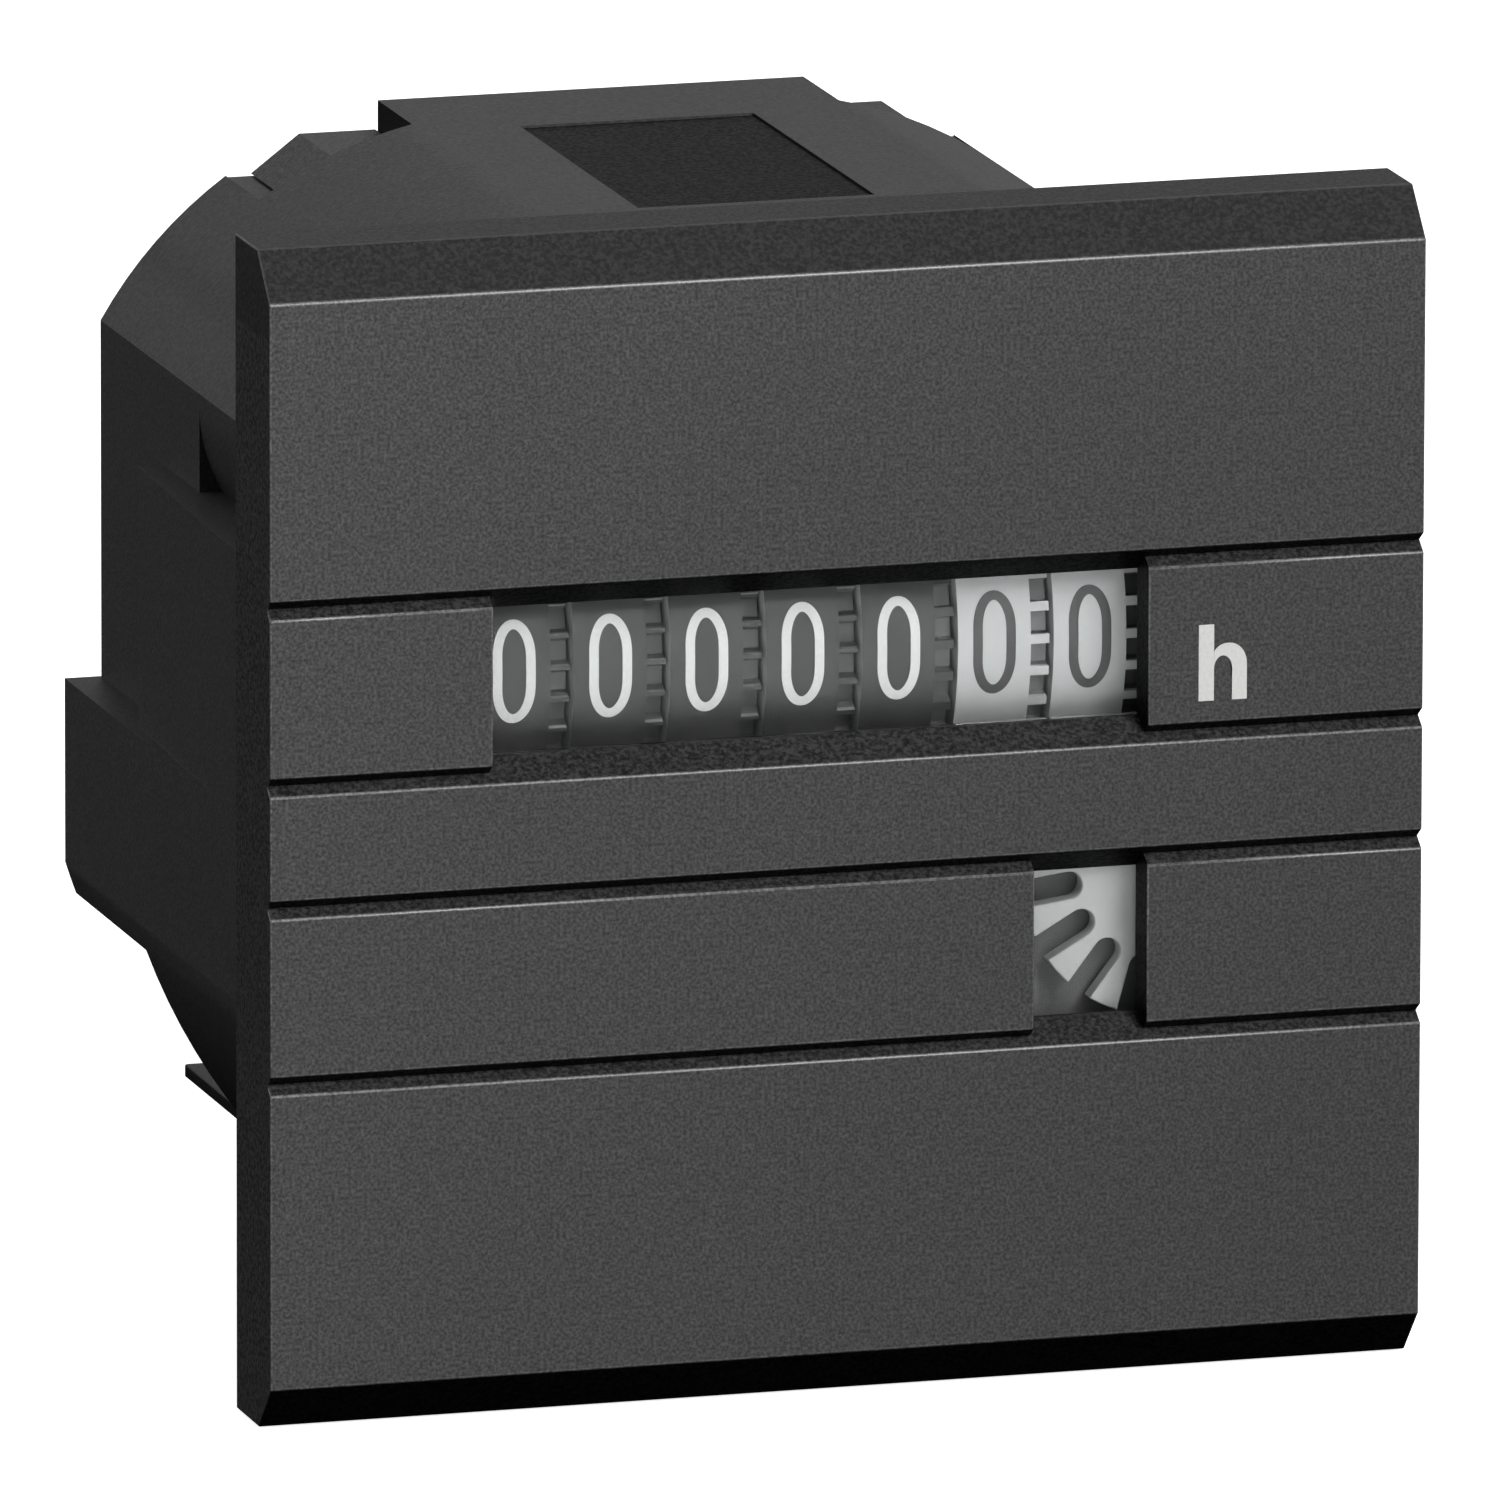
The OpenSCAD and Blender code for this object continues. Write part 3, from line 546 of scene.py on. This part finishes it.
# ---------------------------------------------------------------- numbers on the wheels
for k in range(1, 8):
    bm = bmesh.new()
    for d in range(10):
        def on_wheel(u, v, h, d=d, k=k):
            r = DRUM_R + h * MM
            a = v * MM / DRUM_R - math.radians(36 * d) + TURN_OFF
            return (FACE_X[k] + u * MM, DRUM_Y - r * math.cos(a), DRUM_Z + r * math.sin(a))
        for n_s, (pts, closed) in enumerate(DIGITS[d]):
            stroke(bm, pts, closed, STROKE, on_wheel, LIFT + LIFT_STEP * n_s, SINK)
    light = k > LAST_DARK_WHEEL
    piece("wheel_%d_numbers" % k, bm, M["dark_ink" if light else "white_ink"], "wheel_%d" % k,
          smooth=False)


# ---------------------------------------------------------------- the h beside the register
def extruded(name, outline, y0, y1, m, body):
    """A flat outline in x and z (mm), between two depths."""
    bm = bmesh.new()
    a = [bm.verts.new((x * MM, y0, z * MM)) for x, z in outline]
    b = [bm.verts.new((x * MM, y1, z * MM)) for x, z in outline]
    fa = bm.faces.new(a)
    fb = bm.faces.new(list(reversed(b)))
    for i in range(len(a)):
        j = (i + 1) % len(a)
        bm.faces.new((a[i], b[i], b[j], a[j]))
    bmesh.ops.triangulate(bm, faces=[fa, fb])
    return piece(name, bm, m, body, smooth=False)


def letter_h(x, z):
    s, w, h, leg = 0.64, 2.02, 3.12, 0.62              # stem, width, height, right leg
    sh = 2.33                                          # height of the shoulder
    pts = [(0, 0), (s, 0), (s, 1.28)]
    pts += arc((w - leg + s) / 2, 1.28, (w - leg - s) / 2, 0.55, 180, 0, 12)[1:]
    pts += [(w - leg, 0), (w, 0), (w, 1.45)]
    pts += arc(w - 0.72, sh - 0.88, 0.72, 0.88, 0, 90, 10)[1:]
    pts += arc(w - 0.80, sh - 0.60, 0.64, 0.60, 90, 150, 6)
    pts += [(s, 1.98), (s, h), (0, h)]
    return [(x + px, z + pz) for px, pz in pts]


extruded("hours_mark", letter_h(14.56, 3.73), FRONT - 0.025 * MM, FRONT + 0.05 * MM, M["white_ink"], "case")

# ---------------------------------------------------------------- label field on the top
LABEL_HALF_X, LABEL_HALF_Y, LABEL_MID_Y = 4.90 * MM, 8.55 * MM, 16.75 * MM
bm = bmesh.new()
bmesh.ops.create_grid(bm, x_segments=20, y_segments=36, size=1.0)
for v in bm.verts:
    v.co = Vector((v.co.x * LABEL_HALF_X, LABEL_MID_Y + v.co.y * LABEL_HALF_Y, BODY_TOP - 0.10 * MM))
ext = bmesh.ops.extrude_face_region(bm, geom=bm.faces[:])
for v in [g for g in ext["geom"] if isinstance(g, bmesh.types.BMVert)]:
    v.co.z -= 0.07 * MM
piece("label_field", bm, M["label"], "case", smooth=False)

# ---------------------------------------------------------------- floor, light, camera
LIGHT_TARGET = Vector((0, 0.012, 0))


def area(name, direction, dist, size, power):
    d = bpy.data.lights.new(name, "AREA")
    d.shape = "RECTANGLE"
    d.size, d.size_y = size
    d.energy = power
    o = bpy.data.objects.new(name, d)
    bpy.context.scene.collection.objects.link(o)
    v = Vector(direction).normalized()
    o.location = LIGHT_TARGET + v * dist
    o.rotation_euler = v.to_track_quat("Z", "Y").to_euler()
    return o


def pale_floor():
    """A wide pale floor just under the part, seen by the camera but not lighting the part."""
    bm = bmesh.new()
    bmesh.ops.create_grid(bm, x_segments=2, y_segments=2, size=20)
    me = bpy.data.meshes.new("floor")
    bm.to_mesh(me)
    bm.free()
    floor = bpy.data.objects.new("floor", me)
    bpy.context.scene.collection.objects.link(floor)
    floor.location = (0, 0, CAD_BOX[0][2] - 0.0001)
    t = Tree("floor_pale")
    t.set(Base_Color=t.ramp(t.noise(40, 2.0, 0.5), [(0.3, 0.90), (0.7, 0.92)]), Roughness=0.9)
    t.b.inputs["Emission Color"].default_value = (1, 1, 1, 1)
    t.b.inputs["Emission Strength"].default_value = 0.85
    me.materials.append(t.m)
    floor.visible_diffuse = False
    floor.visible_glossy = False


pale_floor()
area("key", (0.28, -0.80, 0.58), 1.0, (0.35, 0.35), 10.5)
area("front", (-0.10, -1.0, 0.30), 1.1, (0.5, 0.5), 0.9)
area("rim", (-0.22, 0.10, 0.97), 0.9, (0.4, 0.4), 0.42)
area("left", (-1.0, 0.30, 0.35), 1.0, (0.5, 0.5), 2.0)
area("back", (0.62, 0.90, 0.0), 1.0, (0.6, 0.6), 4.0).visible_glossy = False


def studio_world(front=0.15, back=0.50, below=0.02):
    """Soft light all round: darker below, brighter behind the part, and a white line at the horizon."""
    world = bpy.data.worlds.new("studio")
    world.use_nodes = True
    bpy.context.scene.world = world
    tree = world.node_tree
    background = tree.nodes["Background"]

    def node(kind, source, **values):
        n = tree.nodes.new(kind)
        for k, v in values.items():
            n.inputs[k.replace("_", " ")].default_value = v
        tree.links.new(source, n.inputs["Value"] if "Value" in n.inputs else n.inputs[0])
        return n

    axis = node("ShaderNodeSeparateXYZ", tree.nodes.new("ShaderNodeTexCoord").outputs["Generated"]).outputs
    height = node("ShaderNodeMapRange", axis["Z"], From_Min=-1.0, From_Max=1.0)
    fade = node("ShaderNodeValToRGB", height.outputs["Result"])
    low, high = fade.color_ramp.elements
    low.position, high.position = 0.47, 0.52
    low.color, high.color = (below, below, below, 1), (1, 1, 1, 1)
    tree.links.new(fade.outputs["Color"], background.inputs["Color"])

    depth = node("ShaderNodeMapRange", axis["Y"], From_Min=0.0, From_Max=0.9, To_Min=front, To_Max=back)
    line_z, line_half, line_power = -0.027, 0.006, 3.6
    at_line = node("ShaderNodeMath", axis["Z"])
    at_line.operation = "COMPARE"
    at_line.inputs[1].default_value = line_z
    at_line.inputs[2].default_value = line_half
    total = node("ShaderNodeMath", at_line.outputs[0])
    total.operation = "MULTIPLY_ADD"
    total.inputs[1].default_value = line_power
    tree.links.new(depth.outputs["Result"], total.inputs[2])
    tree.links.new(total.outputs[0], background.inputs["Strength"])


studio_world()

# the camera that matches the part's perspective: its axes, place and focal length in picture widths
CAM_RIGHT = Vector((0.9589281, -0.2836385, 0.0024514))
CAM_FORWARD = Vector((0.2772918, 0.9355815, -0.2186243))
CAM_AT = Vector((-0.344764, FRONT - 1.149065, 0.271348))
FOCAL_WIDTHS = 20.544
SENSOR = 36


def camera():
    data = bpy.data.cameras.new("camera")
    cam = bpy.data.objects.new("camera", data)
    bpy.context.scene.collection.objects.link(cam)
    axes = Matrix((CAM_RIGHT, CAM_RIGHT.cross(CAM_FORWARD), -CAM_FORWARD)).transposed()
    cam.matrix_world = Matrix.Translation(CAM_AT) @ axes.to_4x4()
    data.sensor_width = SENSOR
    data.lens = FOCAL_WIDTHS * SENSOR
    data.shift_x = 0.0008
    data.shift_y = 0.000733
    data.clip_start = 0.05
    data.clip_end = 60
    bpy.context.scene.camera = cam


camera()
bpy.context.scene.view_settings.view_transform = "Standard"
bpy.context.scene.view_settings.look = "None"
